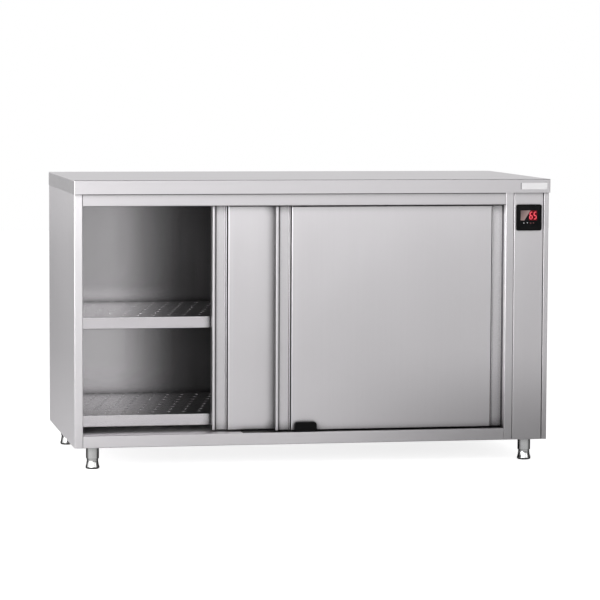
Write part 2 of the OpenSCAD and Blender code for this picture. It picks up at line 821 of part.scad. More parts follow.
// Duct behind the chamber's wall: a flanged pan that holds the fan and the heater
module air_duct() {
    l = duct_y[1] - duct_y[0];
    h = duct_z[1] - duct_z[0];
    near = wall_x + liner_t;
    color(steel) difference() {
        union() {
            translate([near, duct_y[0], duct_z[0]]) cube([duct_d, l, h]);
            translate([near, duct_y[0] - duct_flange, duct_z[0] - duct_flange])
                cube([liner_t, l + 2 * duct_flange, h + 2 * duct_flange]);
        }
        translate([near - 1, duct_y[0] + liner_t, duct_z[0] + liner_t])
            cube([duct_d + 1 - liner_t, l - 2 * liner_t, h - 2 * liner_t]);
        translate([duct_back - liner_t - 1, fan_at[1], fan_at[2]]) rod_x(shaft_r + 4, liner_t + 2);
        for (s = [-1, 1])
            translate([duct_back - liner_t - 1, fan_at[1] + s * end_gap, fan_at[2] + end_z])
                rod_x(sleeve_r + seam, liner_t + 2);
    }
}

// Motor: mounting flange, ribbed body, end cap and the bearing's bore
module fan_motor() {
    color([0.3, 0.3, 0.32]) translate([duct_back, fan_at[1], fan_at[2]]) difference() {
        rotate([0, 90, 0]) rotate_extrude() polygon([
            [0, 0], [motor_r + 7, 0], [motor_r + 7, 3], [motor_r, 3], [motor_r, 10],
            [motor_r - 3, 12], [motor_r - 3, 28], [motor_r, 30], [motor_r, 38],
            [motor_r - 6, motor_l], [0, motor_l],
        ]);
        translate([-1, 0, 0]) rod_x(shaft_r + shaft_play, shaft_l + 1.5);
    }
}

// Centrifugal wheel on its shaft: back disc, blades set at an angle, front ring and hub
module fan_wheel() {
    blade_l = 26;
    gap = 10;
    color([0.7, 0.7, 0.72]) translate([wall_x + liner_t + gap, fan_at[1], fan_at[2]]) {
        translate([blade_w, 0, 0]) rod_x(fan_r, 1.5);
        for (i = [0 : blades - 1]) rotate([i * 360 / blades, 0, 0])
            translate([0, 0, fan_r - blade_l]) rotate([28, 0, 0])
                translate([0.5, -0.5, 0]) cube([blade_w, 1, blade_l - 4]);
        difference() {
            rod_x(fan_r, 1.5);
            translate([-1, 0, 0]) rod_x(fan_r - blade_l + 2, 4);
        }
        translate([blade_w - 12, 0, 0]) rod_x(shaft_r + 6, 14);
        translate([blade_w - 10, 0, 0])
            rod_x(shaft_r, duct_d - gap - blade_w + 10 + shaft_l);
    }
}

// Tubular heater: an open ring round the wheel and two ends through the duct's back
module ring_heater() {
    x = wall_x + liner_t + 24;
    end_l = duct_back - x + 14;
    color([0.35, 0.33, 0.3]) translate([x, fan_at[1], fan_at[2]]) {
        rotate([0, 90, 0]) rotate([0, 0, end_a]) rotate_extrude(angle = 360 - 2 * end_a)
            translate([ring_r, 0]) circle(r = tube_r, $fn = 24);
        for (s = [-1, 1]) translate([-sleeve_r, s * end_gap, end_z])
            rod_x(sleeve_r, end_l + sleeve_r);
    }
}

// Over-temperature cut-out on the duct's back, with its reset pin and terminals
module safety_thermostat() {
    color([0.85, 0.83, 0.78]) translate([duct_back, duct_y[0] + cutoff_in, duct_z[1] - cutoff_drop]) {
        cube([26, 36, 52]);
        translate([26, 18, 38]) rod_x(5, 8);
        for (y = [6, 18, 30]) translate([26, y - 3, 6]) cube([9, 6, 0.8]);
    }
}

// Air sensor held to the chamber's wall by its clip
module temperature_probe() {
    probe_r = 3;
    at = [wall_x - probe_r - 1.5, wall_y - probe_back, shelf_tops[1] + probe_rise];
    color([0.8, 0.8, 0.8]) translate(at) {
        rod_y(probe_r, 50);
        sphere(r = probe_r, $fn = 24);
        for (y = [12, 38]) translate([0, y, -probe_r - 2])
            cube([probe_r + 1.5, 6, 2 * probe_r + 4]);
    }
}

// Supply terminals on the floor of the machine bay
module terminal_block() {
    ways = 5;
    pitch = 12;
    color([0.9, 0.9, 0.86]) translate([gland_at[0] - 15, gland_at[1] - terminal_ahead, base_z + sheet])
    difference() {
        union() {
            cube([30, ways * pitch + 4, 12]);
            translate([5, 0, 0]) cube([20, ways * pitch + 4, 20]);
        }
        for (i = [0 : ways - 1]) translate([15, 8 + i * pitch, 14]) cylinder(r = 3, h = 8);
        for (i = [0 : ways - 1], x = [-1, 27]) translate([x, 5 + i * pitch, 3]) cube([4, 6, 6]);
    }
}

// Cable gland through the base sheet: hexagon and dome nut below, thread and locknut inside
module cable_gland() {
    hex_r = (gland_r + 3) / cos(30);
    color(black_plastic) translate([gland_at[0], gland_at[1], base_z]) difference() {
        union() {
            translate([0, 0, -nut_h]) cylinder(r = hex_r, h = nut_h, $fn = 6);
            translate([0, 0, -nut_h]) mirror([0, 0, 1]) rotate_extrude() polygon([
                [0, 0], [gland_r + 1, 0], [gland_r + 1, 8], [gland_r - 1, 13], [cord_r + 1.5, 15],
                [0, 15],
            ]);
            translate([0, 0, -eps]) cylinder(r = gland_r, h = 14);
            translate([0, 0, sheet]) cylinder(r = hex_r, h = nut_h, $fn = 6);
        }
        translate([0, 0, -30]) cylinder(r = cord_r, h = 50);
    }
}

// ---- Controls

// Frame of the thermostat, standing out of the control panel
module controller_bezel() {
    lip = (bezel_w - window_w) / 2;
    color(black_plastic) translate([panel_mid - bezel_w / 2, front_y, bezel_z])
    rotate([90, 0, 0]) difference() {
        linear_extrude(height = bezel_t) round_rect(bezel_w, bezel_w, bezel_r);
        translate([lip, lip, 1.5]) linear_extrude(height = bezel_t)
            round_rect(window_w, window_w, bezel_r - 1.5);
        translate([lip + 6, lip + 6, -1]) cube([window_w - 12, window_w - 12, 4]);
    }
}

// Dark glossy front behind which the display shows
module controller_window() {
    play = 0.2;
    w = window_w - 2 * play;
    color([0.02, 0.02, 0.025])
    translate([panel_mid - w / 2, front_y - 1.5, bezel_z + (bezel_w - w) / 2]) rotate([90, 0, 0])
        linear_extrude(height = bezel_t - 2.1) round_rect(w, w, bezel_r - 1.7);
}

module controller_housing() {
    w = cutout_w - 1;
    color(black_plastic) translate([panel_mid - w / 2, front_y, bezel_z + (bezel_w - w) / 2]) {
        cube([w, housing_d, w]);
        for (z = [w * 0.25, w * 0.6]) translate([8, housing_d, z]) cube([w - 16, 8, 10]);
    }
}

// ---- Legs

// Plates welded inside the base, each with the spigot that its leg tube is pressed onto
module leg_plates() {
    color(steel) for (p = leg_spots) translate([p[0], p[1], base_z]) {
        translate([-plate_w / 2, 10 - plate_w / 2, sheet]) cube([plate_w, plate_w - 20, 3]);
        translate([0, 0, -spigot_h]) cylinder(r = spigot_r, h = spigot_h + sheet + 1);
    }
}

module leg_tubes() {
    color([0.85, 0.85, 0.86]) for (p = leg_spots) translate([p[0], p[1], foot_h])
        difference() {
            cylinder(r = leg_r, h = sleeve_h);
            translate([0, 0, -1]) cylinder(r = leg_r - leg_wall, h = sleeve_h + 2);
        }
}

// Adjustable foot: plug in the tube, slim neck and a foot that flares to its sole
module foot(spot) {
    plug_r = leg_r - leg_wall - foot_play;
    plug_h = sleeve_h - spigot_h - 3;
    flare = [for (t = [0 : 0.125 : 1]) [
        neck_r + (sole_r - neck_r) * pow(t, 1.8), foot_h - 3 - t * (foot_h - 9),
    ]];
    color([0.85, 0.85, 0.86]) translate([spot[0], spot[1], 0]) rotate_extrude() polygon(concat(
        [[0, 0], [0, foot_h + plug_h], [plug_r - 1, foot_h + plug_h], [plug_r, foot_h + plug_h - 1],
            [plug_r, foot_h], [neck_r, foot_h - 0.5]],
        flare,
        [[sole_r, 4], [sole_r - 1, 1.5], [sole_r - 2.5, 0]]
    ));
}

worktop();
worktop_core();
side_panel_left();
side_panel_right();
back_panel();
base_panel();
bottom_rail();
top_rail();
post_right();
control_panel();
liner_left();
partition();
liner_back();
liner_roof();
floor_panel();
insulation();
door_track();
sill_strip();
door_guide();
door_stops();
shelf(shelf_tops[1]);  // shelf_upper
shelf(shelf_tops[0]);  // shelf_lower
shelf_stiffeners();
shelf_supports();
air_grille();
air_duct();
fan_motor();
fan_wheel();
ring_heater();
safety_thermostat();
temperature_probe();
terminal_block();
cable_gland();
controller_bezel();
controller_window();
controller_housing();
leg_plates();
leg_tubes();
foot(leg_spots[0]);  // foot_front_left
foot(leg_spots[1]);  // foot_front_right
foot(leg_spots[2]);  // foot_rear_left
foot(leg_spots[3]);  // foot_rear_right
at_front_door() door_face();  // front_door_face
at_front_door() door_inner();  // front_door_inner
at_front_door() door_core();  // front_door_core
at_front_door() handle_left();  // front_door_handle_left
at_front_door() handle_right();  // front_door_handle_right
at_front_door() door_hangers();  // front_door_hangers
at_front_door() roller(hanger_inset);  // front_roller_left
at_front_door() roller(door_w - hanger_inset);  // front_roller_right
at_rear_door() door_face();  // rear_door_face
at_rear_door() door_inner();  // rear_door_inner
at_rear_door() door_core();  // rear_door_core
at_rear_door() handle_left();  // rear_door_handle_left
at_rear_door() handle_right();  // rear_door_handle_right
at_rear_door() door_hangers();  // rear_door_hangers
at_rear_door() roller(hanger_inset);  // rear_roller_left
at_rear_door() roller(door_w - hanger_inset);  // rear_roller_right
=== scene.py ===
import math

import bpy
import numpy as np
from mathutils import Matrix, Vector


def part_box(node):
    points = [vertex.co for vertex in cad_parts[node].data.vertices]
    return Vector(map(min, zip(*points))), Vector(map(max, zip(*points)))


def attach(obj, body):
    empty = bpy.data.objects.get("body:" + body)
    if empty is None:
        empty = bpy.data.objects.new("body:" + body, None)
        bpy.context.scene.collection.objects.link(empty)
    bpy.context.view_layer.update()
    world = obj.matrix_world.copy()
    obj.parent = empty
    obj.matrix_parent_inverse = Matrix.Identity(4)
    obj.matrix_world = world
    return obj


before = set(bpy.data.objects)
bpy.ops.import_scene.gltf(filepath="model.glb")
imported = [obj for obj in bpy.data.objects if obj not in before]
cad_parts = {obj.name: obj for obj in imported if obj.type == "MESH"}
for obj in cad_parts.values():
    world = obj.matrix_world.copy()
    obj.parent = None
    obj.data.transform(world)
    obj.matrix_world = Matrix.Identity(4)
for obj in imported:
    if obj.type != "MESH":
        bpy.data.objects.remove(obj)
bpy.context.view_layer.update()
mm = 0.001
print("frame loaded")

# camera and studio

camera = {
    "place": (-1.5973, -8.3706, 1.1451),  # metres
    "yaw": 10.947,      # turned towards +X, degrees
    "pitch": 4.580,     # looking down
    "roll": 0.247,
    "lens": 170.24,     # on a 36 mm sensor
}


def aimCamera():
    yaw, pitch, roll = (math.radians(camera[key]) for key in ("yaw", "pitch", "roll"))
    forward = Vector((math.sin(yaw), math.cos(yaw), 0))
    right = Vector((math.cos(yaw), -math.sin(yaw), 0))
    up = Vector((0, 0, 1))
    look = math.cos(pitch) * forward - math.sin(pitch) * up
    top = math.sin(pitch) * forward + math.cos(pitch) * up
    side = math.cos(roll) * right + math.sin(roll) * top
    top = math.cos(roll) * top - math.sin(roll) * right
    data = bpy.data.cameras.new("camera")
    data.lens = camera["lens"]
    data.sensor_width = 36
    data.clip_end = 60
    eye = bpy.data.objects.new("camera", data)
    eye.matrix_world = Matrix.Translation(camera["place"]) @ Matrix((side, top, -look)).transposed().to_4x4()
    bpy.context.scene.collection.objects.link(eye)
    bpy.context.scene.camera = eye


studio = {
    "floorSize": 24.0,
    "floorColour": (0.80, 0.80, 0.80),
    "cameraLift": 0.80,      # added where the camera sees the floor
    "surround": {(1, -1): 0.08, (1, 1): 0.70, (0, -1): 0.28, (0, 1): 0.20, (2, 1): 0.15},
    # world light from the front, the back, the left, the right and above: axis and sign, then level
}
softboxes = {   # place, aimed at, width, height, power in watts
    "keyLight": ((-2.4, -3.8, 1.6), (-0.2, -0.3, 0.4), 3.2, 2.4, 76),
    "lowKey": ((-2.2, -2.2, 0.75), (-0.5, -0.3, 0.4), 2.4, 1.2, 22),
    "sideLight": ((-3.8, -0.6, 1.3), (0.0, 0.0, 0.4), 3.2, 2.2, 23),
    "frontLight": ((0.2, -5.2, 1.9), (0.0, -0.3, 0.5), 4.0, 2.4, 51),
    "fillLight": ((3.4, -3.6, 1.7), (0.0, -0.3, 0.4), 2.6, 2.2, 23),
    "rimLight": ((0.0, 3.0, 2.6), (0.0, 0.0, 0.8), 4.0, 2.0, 9),
}


def plainObject(name, points, faces, smooth=False):
    mesh = bpy.data.meshes.new(name)
    mesh.from_pydata(np.asarray(points, float).tolist(), [], [list(f) for f in faces])
    mesh.polygons.foreach_set("use_smooth", [smooth] * len(mesh.polygons))
    mesh.update()
    piece = bpy.data.objects.new(name, mesh)
    bpy.context.scene.collection.objects.link(piece)
    return piece


def node(tree, kind, inputs=None, **settings):
    made = tree.nodes.new(kind)
    for key, value in settings.items():
        setattr(made, key, value)
    for key, value in (inputs or {}).items():
        if isinstance(value, bpy.types.NodeSocket):
            tree.links.new(value, made.inputs[key])
        else:
            made.inputs[key].default_value = value
    return made


def maths(tree, operation, a, b=0.0, clamp=False):
    return node(tree, "ShaderNodeMath", {0: a, 1: b}, operation=operation, use_clamp=clamp).outputs[0]


def mixColour(tree, factor, a, b, blend="MIX"):
    made = node(tree, "ShaderNodeMix", {0: factor, 6: a, 7: b}, data_type="RGBA", blend_type=blend)
    return made.outputs[2]


def buildStudio():
    half = studio["floorSize"] / 2
    corners = [(-half, -half, 0), (half, -half, 0), (half, half, 0), (-half, half, 0)]
    floor = plainObject("floor", corners, [(0, 1, 2, 3)])
    paint = bpy.data.materials.new("pale floor")
    paint.use_nodes = True
    tree = paint.node_tree
    tree.nodes.clear()
    rays = node(tree, "ShaderNodeLightPath")
    glow = maths(tree, "MULTIPLY", rays.outputs["Is Camera Ray"], studio["cameraLift"])
    matt = node(tree, "ShaderNodeBsdfDiffuse", {"Color": (*studio["floorColour"], 1)})
    lift = node(tree, "ShaderNodeEmission", {"Strength": glow})
    both = node(tree, "ShaderNodeAddShader", {0: matt.outputs[0], 1: lift.outputs[0]})
    node(tree, "ShaderNodeOutputMaterial", {"Surface": both.outputs[0]})
    floor.data.materials.append(paint)

    world = bpy.data.worlds.new("studio")
    bpy.context.scene.world = world
    world.use_nodes = True
    tree = world.node_tree
    tree.nodes.clear()
    heading = node(tree, "ShaderNodeTexCoord").outputs["Generated"]
    axes = node(tree, "ShaderNodeSeparateXYZ", {0: heading}).outputs
    level = 0.0
    for (axis, sign), share in studio["surround"].items():
        towards = maths(tree, "MULTIPLY", axes[axis], sign, clamp=True)
        level = maths(tree, "ADD", level, maths(tree, "MULTIPLY", towards, share))
    rays = node(tree, "ShaderNodeLightPath")
    level = node(tree, "ShaderNodeMix", {0: rays.outputs["Is Camera Ray"], 2: level, 3: 1.0}, data_type="FLOAT")
    glow = node(tree, "ShaderNodeBackground", {"Color": (1, 1, 1, 1), "Strength": level.outputs[0]})
    node(tree, "ShaderNodeOutputWorld", {"Surface": glow.outputs[0]})

    for name, (place, target, width, height, power) in softboxes.items():
        data = bpy.data.lights.new(name, "AREA")
        data.shape = "RECTANGLE"
        data.size, data.size_y, data.energy = width, height, power
        lamp = bpy.data.objects.new(name, data)
        lamp.location = place
        lamp.rotation_euler = (Vector(target) - Vector(place)).to_track_quat("-Z", "Y").to_euler()
        bpy.context.scene.collection.objects.link(lamp)
    bpy.context.scene.view_settings.view_transform = "Standard"
    print("studio ready")


aimCamera()
buildStudio()

# finishes shared by several materials


def newGroup(name, inputs, outputs):
    tree = bpy.data.node_groups.new(name, "ShaderNodeTree")
    for label, kind, value in inputs:
        socket = tree.interface.new_socket(label, in_out="INPUT", socket_type=kind)
        if value is not None:
            socket.default_value = value
    for label, kind in outputs:
        tree.interface.new_socket(label, in_out="OUTPUT", socket_type=kind)
    return tree, node(tree, "NodeGroupInput").outputs, node(tree, "NodeGroupOutput").inputs


def buildGrainGroup():   # lines left by the rolling or brushing belt, long one way and fine the other
    tree, given, result = newGroup("rolled grain", [
        ("Vector", "NodeSocketVector", None), ("Stretch", "NodeSocketVector", (1, 1, 0.02)),
        ("Depth", "NodeSocketFloat", 0.1), ("Normal", "NodeSocketVector", None),
    ], [("Lines", "NodeSocketFloat"), ("Streaks", "NodeSocketFloat"), ("Normal", "NodeSocketVector")])
    drawn = node(tree, "ShaderNodeVectorMath", {0: given["Vector"], 1: given["Stretch"]}, operation="MULTIPLY")
    place = drawn.outputs[0]
    fine = node(tree, "ShaderNodeTexNoise", {"Vector": place, "Scale": 1400, "Detail": 3, "Roughness": 0.6})
    broad = node(tree, "ShaderNodeTexNoise", {"Vector": place, "Scale": 70, "Detail": 4, "Roughness": 0.62})
    bump = node(tree, "ShaderNodeBump", {
        "Strength": given["Depth"], "Distance": 0.0002, "Height": fine.outputs[0], "Normal": given["Normal"]})
    tree.links.new(fine.outputs[0], result["Lines"])
    tree.links.new(broad.outputs[0], result["Streaks"])
    tree.links.new(bump.outputs[0], result["Normal"])
    return tree


def buildEdgeGroup():   # painted highlight: where a rounded edge's normal leaves the face's own, the edge is painted bright
    tree, given, result = newGroup("rounded edge and painted highlight", [("Radius", "NodeSocketFloat", 0.0006)],
                                   [("Mask", "NodeSocketFloat"), ("Normal", "NodeSocketVector")])
    soft = node(tree, "ShaderNodeBevel", {"Radius": given["Radius"]}, samples=4)
    flat = node(tree, "ShaderNodeNewGeometry").outputs["Normal"]
    same = node(tree, "ShaderNodeVectorMath", {0: soft.outputs[0], 1: flat}, operation="DOT_PRODUCT")
    away = maths(tree, "SUBTRACT", 1.0, same.outputs["Value"])
    tree.links.new(maths(tree, "MULTIPLY", away, 6.0, clamp=True), result["Mask"])
    tree.links.new(soft.outputs[0], result["Normal"])
    return tree


def buildSmearGroup():   # wiping marks and handling: soft clouds drawn out one way
    tree, given, result = newGroup("handling marks", [
        ("Vector", "NodeSocketVector", None), ("Scale", "NodeSocketFloat", 4.0),
    ], [("Smears", "NodeSocketFloat")])
    drawn = node(tree, "ShaderNodeMapping", {
        "Vector": given["Vector"], "Rotation": (0.3, 0.5, 0.2), "Scale": (1, 1, 0.45)})
    clouds = node(tree, "ShaderNodeTexNoise", {
        "Vector": drawn.outputs[0], "Scale": given["Scale"], "Detail": 6, "Roughness": 0.65, "Distortion": 0.6})
    soft = node(tree, "ShaderNodeMapRange", {"Value": clouds.outputs[0], "From Min": 0.32, "From Max": 0.7})
    tree.links.new(soft.outputs[0], result["Smears"])
    return tree


def buildTurnedGroup():   # masks of the faces that look forwards and of those that look to either side
    tree, given, result = newGroup("turned faces", [("Sharpness", "NodeSocketFloat", 4.0)],
                                   [("Forwards", "NodeSocketFloat"), ("Sideways", "NodeSocketFloat")])
    normal = node(tree, "ShaderNodeNewGeometry").outputs["Normal"]
    axes = node(tree, "ShaderNodeSeparateXYZ", {0: normal}).outputs
    shares = {"Forwards": maths(tree, "MULTIPLY", axes[1], -1), "Sideways": maths(tree, "ABSOLUTE", axes[0])}
    for side, share in shares.items():
        above = maths(tree, "MULTIPLY", maths(tree, "SUBTRACT", share, 0.7), given["Sharpness"], clamp=True)
        tree.links.new(above, result[side])
    return tree


def buildCreviceGroup():   # folds, gaps and inner corners are shaded: 1 in the open, less where a face is near
    tree, given, result = newGroup("shaded crevice", [
        ("Reach", "NodeSocketFloat", 0.035), ("Darkest", "NodeSocketFloat", 0.2),
    ], [("Open", "NodeSocketFloat")])
    near = node(tree, "ShaderNodeAmbientOcclusion", {"Distance": given["Reach"]}, samples=8).outputs["AO"]
    soft = node(tree, "ShaderNodeMapRange", {
        "Value": near, "From Min": 0.3, "From Max": 0.92, "To Min": given["Darkest"]},
        interpolation_type="SMOOTHSTEP").outputs[0]
    tree.links.new(soft, result["Open"])
    return tree


# painted light and shade low down: tone gained at the left end, lost at the right
lowTone = {
    "left": -0.15, "right": 0.65, "top": 0.36, "bottom": 0.06,   # metres: the grade's ends along X and Z
    "leftGain": 0.14, "rightGain": -0.38,                        # what the tone gains low down at either end
}


def buildPaintedShadingGroup():   # painted light and shade: low down, the tone is graded from lighter at the left to darker at the right to follow the photograph
    tree, given, result = newGroup("dulled low end", [
        ("Vector", "NodeSocketVector", None)], [("Share", "NodeSocketFloat")])
    axes = node(tree, "ShaderNodeSeparateXYZ", {0: given["Vector"]}).outputs
    along = node(tree, "ShaderNodeMapRange", {
        "Value": axes[0], "From Min": lowTone["left"], "From Max": lowTone["right"],
        "To Min": lowTone["leftGain"], "To Max": lowTone["rightGain"]},
        interpolation_type="SMOOTHSTEP").outputs[0]
    low = node(tree, "ShaderNodeMapRange", {
        "Value": axes[2], "From Min": lowTone["top"], "From Max": lowTone["bottom"]},
        interpolation_type="SMOOTHSTEP").outputs[0]
    share = maths(tree, "ADD", maths(tree, "MULTIPLY", along, low), 1.0)
    tree.links.new(share, result["Share"])
    return tree


groups = {
    "crevice": buildCreviceGroup(), "paintedShading": buildPaintedShadingGroup(), "grain": buildGrainGroup(),
    "edge": buildEdgeGroup(), "smear": buildSmearGroup(), "turned": buildTurnedGroup(),
}


def useGroup(tree, key, inputs=None):
    return node(tree, "ShaderNodeGroup", inputs, node_tree=groups[key]).outputs


# materials


def newMaterial(name):
    made = bpy.data.materials.new(name)
    made.use_nodes = True
    tree = made.node_tree
    shader = tree.nodes["Principled BSDF"]
    return made, tree, shader, node(tree, "ShaderNodeTexCoord").outputs["Object"]


def sheetMetal(name, colour, roughness, stretch, lineContrast=0.04, streakContrast=0.03, depth=0.08,
               edgeLight=0.05, spread=0.0, front=1.0, flank=1.0, darkest=0.2, paintedShading=False):
    made, tree, shader, place = newMaterial(name)
    edge = useGroup(tree, "edge")
    grain = useGroup(tree, "grain", {
        "Vector": place, "Stretch": stretch, "Depth": depth, "Normal": edge["Normal"]})
    smear = useGroup(tree, "smear", {"Vector": place})
    dull = tuple(c * (1 - lineContrast) for c in colour)
    bright = tuple(min(1.0, c * (1 + edgeLight)) for c in colour)
    tone = mixColour(tree, grain["Lines"], (*colour, 1), (*dull, 1))
    band = maths(tree, "MULTIPLY_ADD", grain["Streaks"], -streakContrast)
    band.node.inputs[2].default_value = 1 + streakContrast / 2
    tone = mixColour(tree, 1.0, tone, band, "MULTIPLY")
    # painted highlight: rounded edges are painted brighter by edgeLight
    tone = mixColour(tree, edge["Mask"], tone, (*bright, 1))
    shade = useGroup(tree, "crevice", {"Darkest": darkest})["Open"]
    # painted light and shade low down, graded from left to right
    if paintedShading:
        shade = maths(tree, "MULTIPLY", shade, useGroup(tree, "paintedShading", {"Vector": place})["Share"])
    tone = mixColour(tree, 1.0, tone, shade, "MULTIPLY")
    if front != 1 or flank != 1:   # painted light and shade: faces that look forwards or sideways are painted lighter or darker than the rest
        turned = useGroup(tree, "turned")
        for key, share in (("Forwards", front), ("Sideways", flank)):
            toned = mixColour(tree, 1.0, tone, (share, share, share, 1), "MULTIPLY")
            tone = mixColour(tree, turned[key], tone, toned)
    tree.links.new(tone, shader.inputs["Base Color"])
    rough = maths(tree, "MULTIPLY_ADD", grain["Streaks"], 0.06)
    rough.node.inputs[2].default_value = roughness - 0.04
    wearAndHighlight = maths(tree, "MULTIPLY_ADD", smear["Smears"], 0.03)
    tree.links.new(rough, wearAndHighlight.node.inputs[2])
    polished = maths(tree, "MULTIPLY_ADD", edge["Mask"], -0.02)
    tree.links.new(wearAndHighlight, polished.node.inputs[2])
    tree.links.new(polished, shader.inputs["Roughness"])
    tree.links.new(grain["Normal"], shader.inputs["Normal"])
    shader.inputs["Metallic"].default_value = 1
    if spread:   # grain spreads a reflection across itself: its direction is the long way of the stretch
        along = tuple(1.0 if s < 0.5 else 0.0 for s in stretch)
        normal = node(tree, "ShaderNodeNewGeometry").outputs["Normal"]
        across = node(tree, "ShaderNodeVectorMath", {0: normal, 1: along}, operation="CROSS_PRODUCT").outputs[0]
        nudge = (0.002, 0.003, 0.004)   # keeps the direction from having no length
        safe = node(tree, "ShaderNodeVectorMath", {0: across, 1: nudge}, operation="ADD").outputs[0]
        tree.links.new(safe, shader.inputs["Tangent"])
        shader.inputs["Anisotropic"].default_value = spread
    return made


backTone = {"from": -0.52, "to": -0.38, "share": 0.55}   # metres along X, and the tone's share past it


def gradedBack(name, colour, roughness):   # painted shade: the back lining's tone is graded darker along X to follow the photograph
    made = sheetMetal(name, colour, roughness, upright, 0.04, 0.04, spread=0.3)
    tree = made.node_tree
    shader = tree.nodes["Principled BSDF"]
    tone = shader.inputs["Base Color"].links[0].from_socket
    place = node(tree, "ShaderNodeTexCoord").outputs["Object"]
    axes = node(tree, "ShaderNodeSeparateXYZ", {0: place}).outputs
    share = node(tree, "ShaderNodeMapRange", {
        "Value": axes[0], "From Min": backTone["from"], "From Max": backTone["to"],
        "To Min": 1.0, "To Max": backTone["share"]}, interpolation_type="SMOOTHSTEP")
    tree.links.new(mixColour(tree, 1.0, tone, share.outputs[0], "MULTIPLY"), shader.inputs["Base Color"])
    return made


holes = {"pitch": 0.045, "row": 0.062, "rows": 8, "radius": 0.006, "rim": 0.0095, "bright": 0.80}


def perforatedSheet(name, colour, roughness):
    # round each hole the punch has left a dished rim, and its highlight is painted as a bright ring: the
    # distance to the nearest hole of rows that each start a third of the spacing further on than the last; the
    # painted rings run on past the outermost holes
    # painted light: faces that look forwards are painted 3.1 times lighter
    made = sheetMetal(name, colour, roughness, lengthwise, 0.08, 0.12, spread=0.3, front=3.1)
    tree = made.node_tree
    shader = tree.nodes["Principled BSDF"]
    tone = shader.inputs["Base Color"].links[0].from_socket
    low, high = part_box("shelf_upper")
    middle = [(a + b) / 2 for a, b in zip(low, high)]
    place = node(tree, "ShaderNodeTexCoord").outputs["Object"]
    axes = node(tree, "ShaderNodeSeparateXYZ", {0: place}).outputs
    firstRow = middle[1] - (holes["rows"] - 1) / 2 * holes["row"]
    row = maths(tree, "DIVIDE", maths(tree, "SUBTRACT", axes[1], firstRow), holes["row"])
    nearest = maths(tree, "ROUND", row)
    awayY = maths(tree, "MULTIPLY", maths(tree, "SUBTRACT", row, nearest), holes["row"])
    third = maths(tree, "SUBTRACT", maths(tree, "MODULO", nearest, 3.0), 1.0)
    shift = maths(tree, "MULTIPLY", third, holes["pitch"] / 3)
    column = maths(tree, "SUBTRACT", maths(tree, "SUBTRACT", axes[0], middle[0] + holes["pitch"] / 2), shift)
    column = maths(tree, "DIVIDE", column, holes["pitch"])
    offCentre = maths(tree, "SUBTRACT", column, maths(tree, "ROUND", column))
    awayX = maths(tree, "MULTIPLY", offCentre, holes["pitch"])
    squares = maths(tree, "ADD", maths(tree, "MULTIPLY", awayX, awayX), maths(tree, "MULTIPLY", awayY, awayY))
    away = maths(tree, "SQRT", squares)
    rim = node(tree, "ShaderNodeMapRange", {
        "Value": away, "From Min": holes["rim"], "From Max": holes["radius"]},
        interpolation_type="SMOOTHSTEP").outputs[0]
    onTop = maths(tree, "SUBTRACT", 1.0, useGroup(tree, "turned")["Forwards"])
    rim = maths(tree, "MULTIPLY", maths(tree, "MULTIPLY", rim, onTop), holes["bright"])
    tree.links.new(mixColour(tree, rim, tone, (0.9, 0.9, 0.9, 1)), shader.inputs["Base Color"])
    return made


legs = {
    "bright": 0.80, "dark": 0.05,   # tones of the painted reflection, face on and at the sides
    "from": 0.12, "to": 0.45,       # where the one turns into the other
    "sole": 0.004,                  # height of the rubber sole, metres
}


def turnedSteel(name):   # painted reflection: tone by the angle that the tube is seen at, pale to dark, and a thin rubber sole
    made = sheetMetal(name, (legs["bright"],) * 3, 0.14, upright, 0.03, 0.03, 0.03)
    tree = made.node_tree
    shader = tree.nodes["Principled BSDF"]
    tone = shader.inputs["Base Color"].links[0].from_socket
    # painted reflection: darker where the tube is seen turning away
    turned = node(tree, "ShaderNodeLayerWeight", {"Blend": 0.5}).outputs["Facing"]
    side = node(tree, "ShaderNodeMapRange", {"Value": turned, "From Min": legs["from"], "From Max": legs["to"]},
                interpolation_type="SMOOTHSTEP").outputs[0]
    tone = mixColour(tree, side, tone, (*(legs["dark"],) * 3, 1))
    place = node(tree, "ShaderNodeTexCoord").outputs["Object"]
    height = node(tree, "ShaderNodeSeparateXYZ", {0: place}).outputs[2]
    sole = maths(tree, "LESS_THAN", height, legs["sole"])
    tree.links.new(mixColour(tree, sole, tone, (0.01, 0.01, 0.01, 1)), shader.inputs["Base Color"])
    tree.links.new(maths(tree, "SUBTRACT", 1.0, sole), shader.inputs["Metallic"])
    return made


def moulded(name, colour, roughness, texture=0.0, specular=0.5):
    made, tree, shader, place = newMaterial(name)
    edge = useGroup(tree, "edge", {"Radius": 0.0005})
    smear = useGroup(tree, "smear", {"Vector": place, "Scale": 30.0})
    speckle = node(tree, "ShaderNodeTexNoise", {"Vector": place, "Scale": 2200, "Detail": 2})
    bump = node(tree, "ShaderNodeBump", {
        "Strength": texture, "Distance": 0.0001, "Height": speckle.outputs[0], "Normal": edge["Normal"]})
    # painted highlight: rounded edges are painted paler
    pale = tuple(min(1.0, c * 1.5 + 0.01) for c in colour)
    wearAndHighlight = maths(tree, "MULTIPLY", edge["Mask"], 0.5)
    tree.links.new(mixColour(tree, wearAndHighlight, (*colour, 1), (*pale, 1)), shader.inputs["Base Color"])
    rough = maths(tree, "MULTIPLY_ADD", smear["Smears"], 0.12)
    rough.node.inputs[2].default_value = roughness
    tree.links.new(rough, shader.inputs["Roughness"])
    tree.links.new(bump.outputs[0], shader.inputs["Normal"])
    shader.inputs["Specular IOR Level"].default_value = specular
    return made


steelTone = (0.67, 0.652, 0.67)
linerTone = (0.60, 0.585, 0.60)
upright = (1, 1, 0.012)       # grain along Z
lengthwise = (0.012, 1, 1)    # grain along X

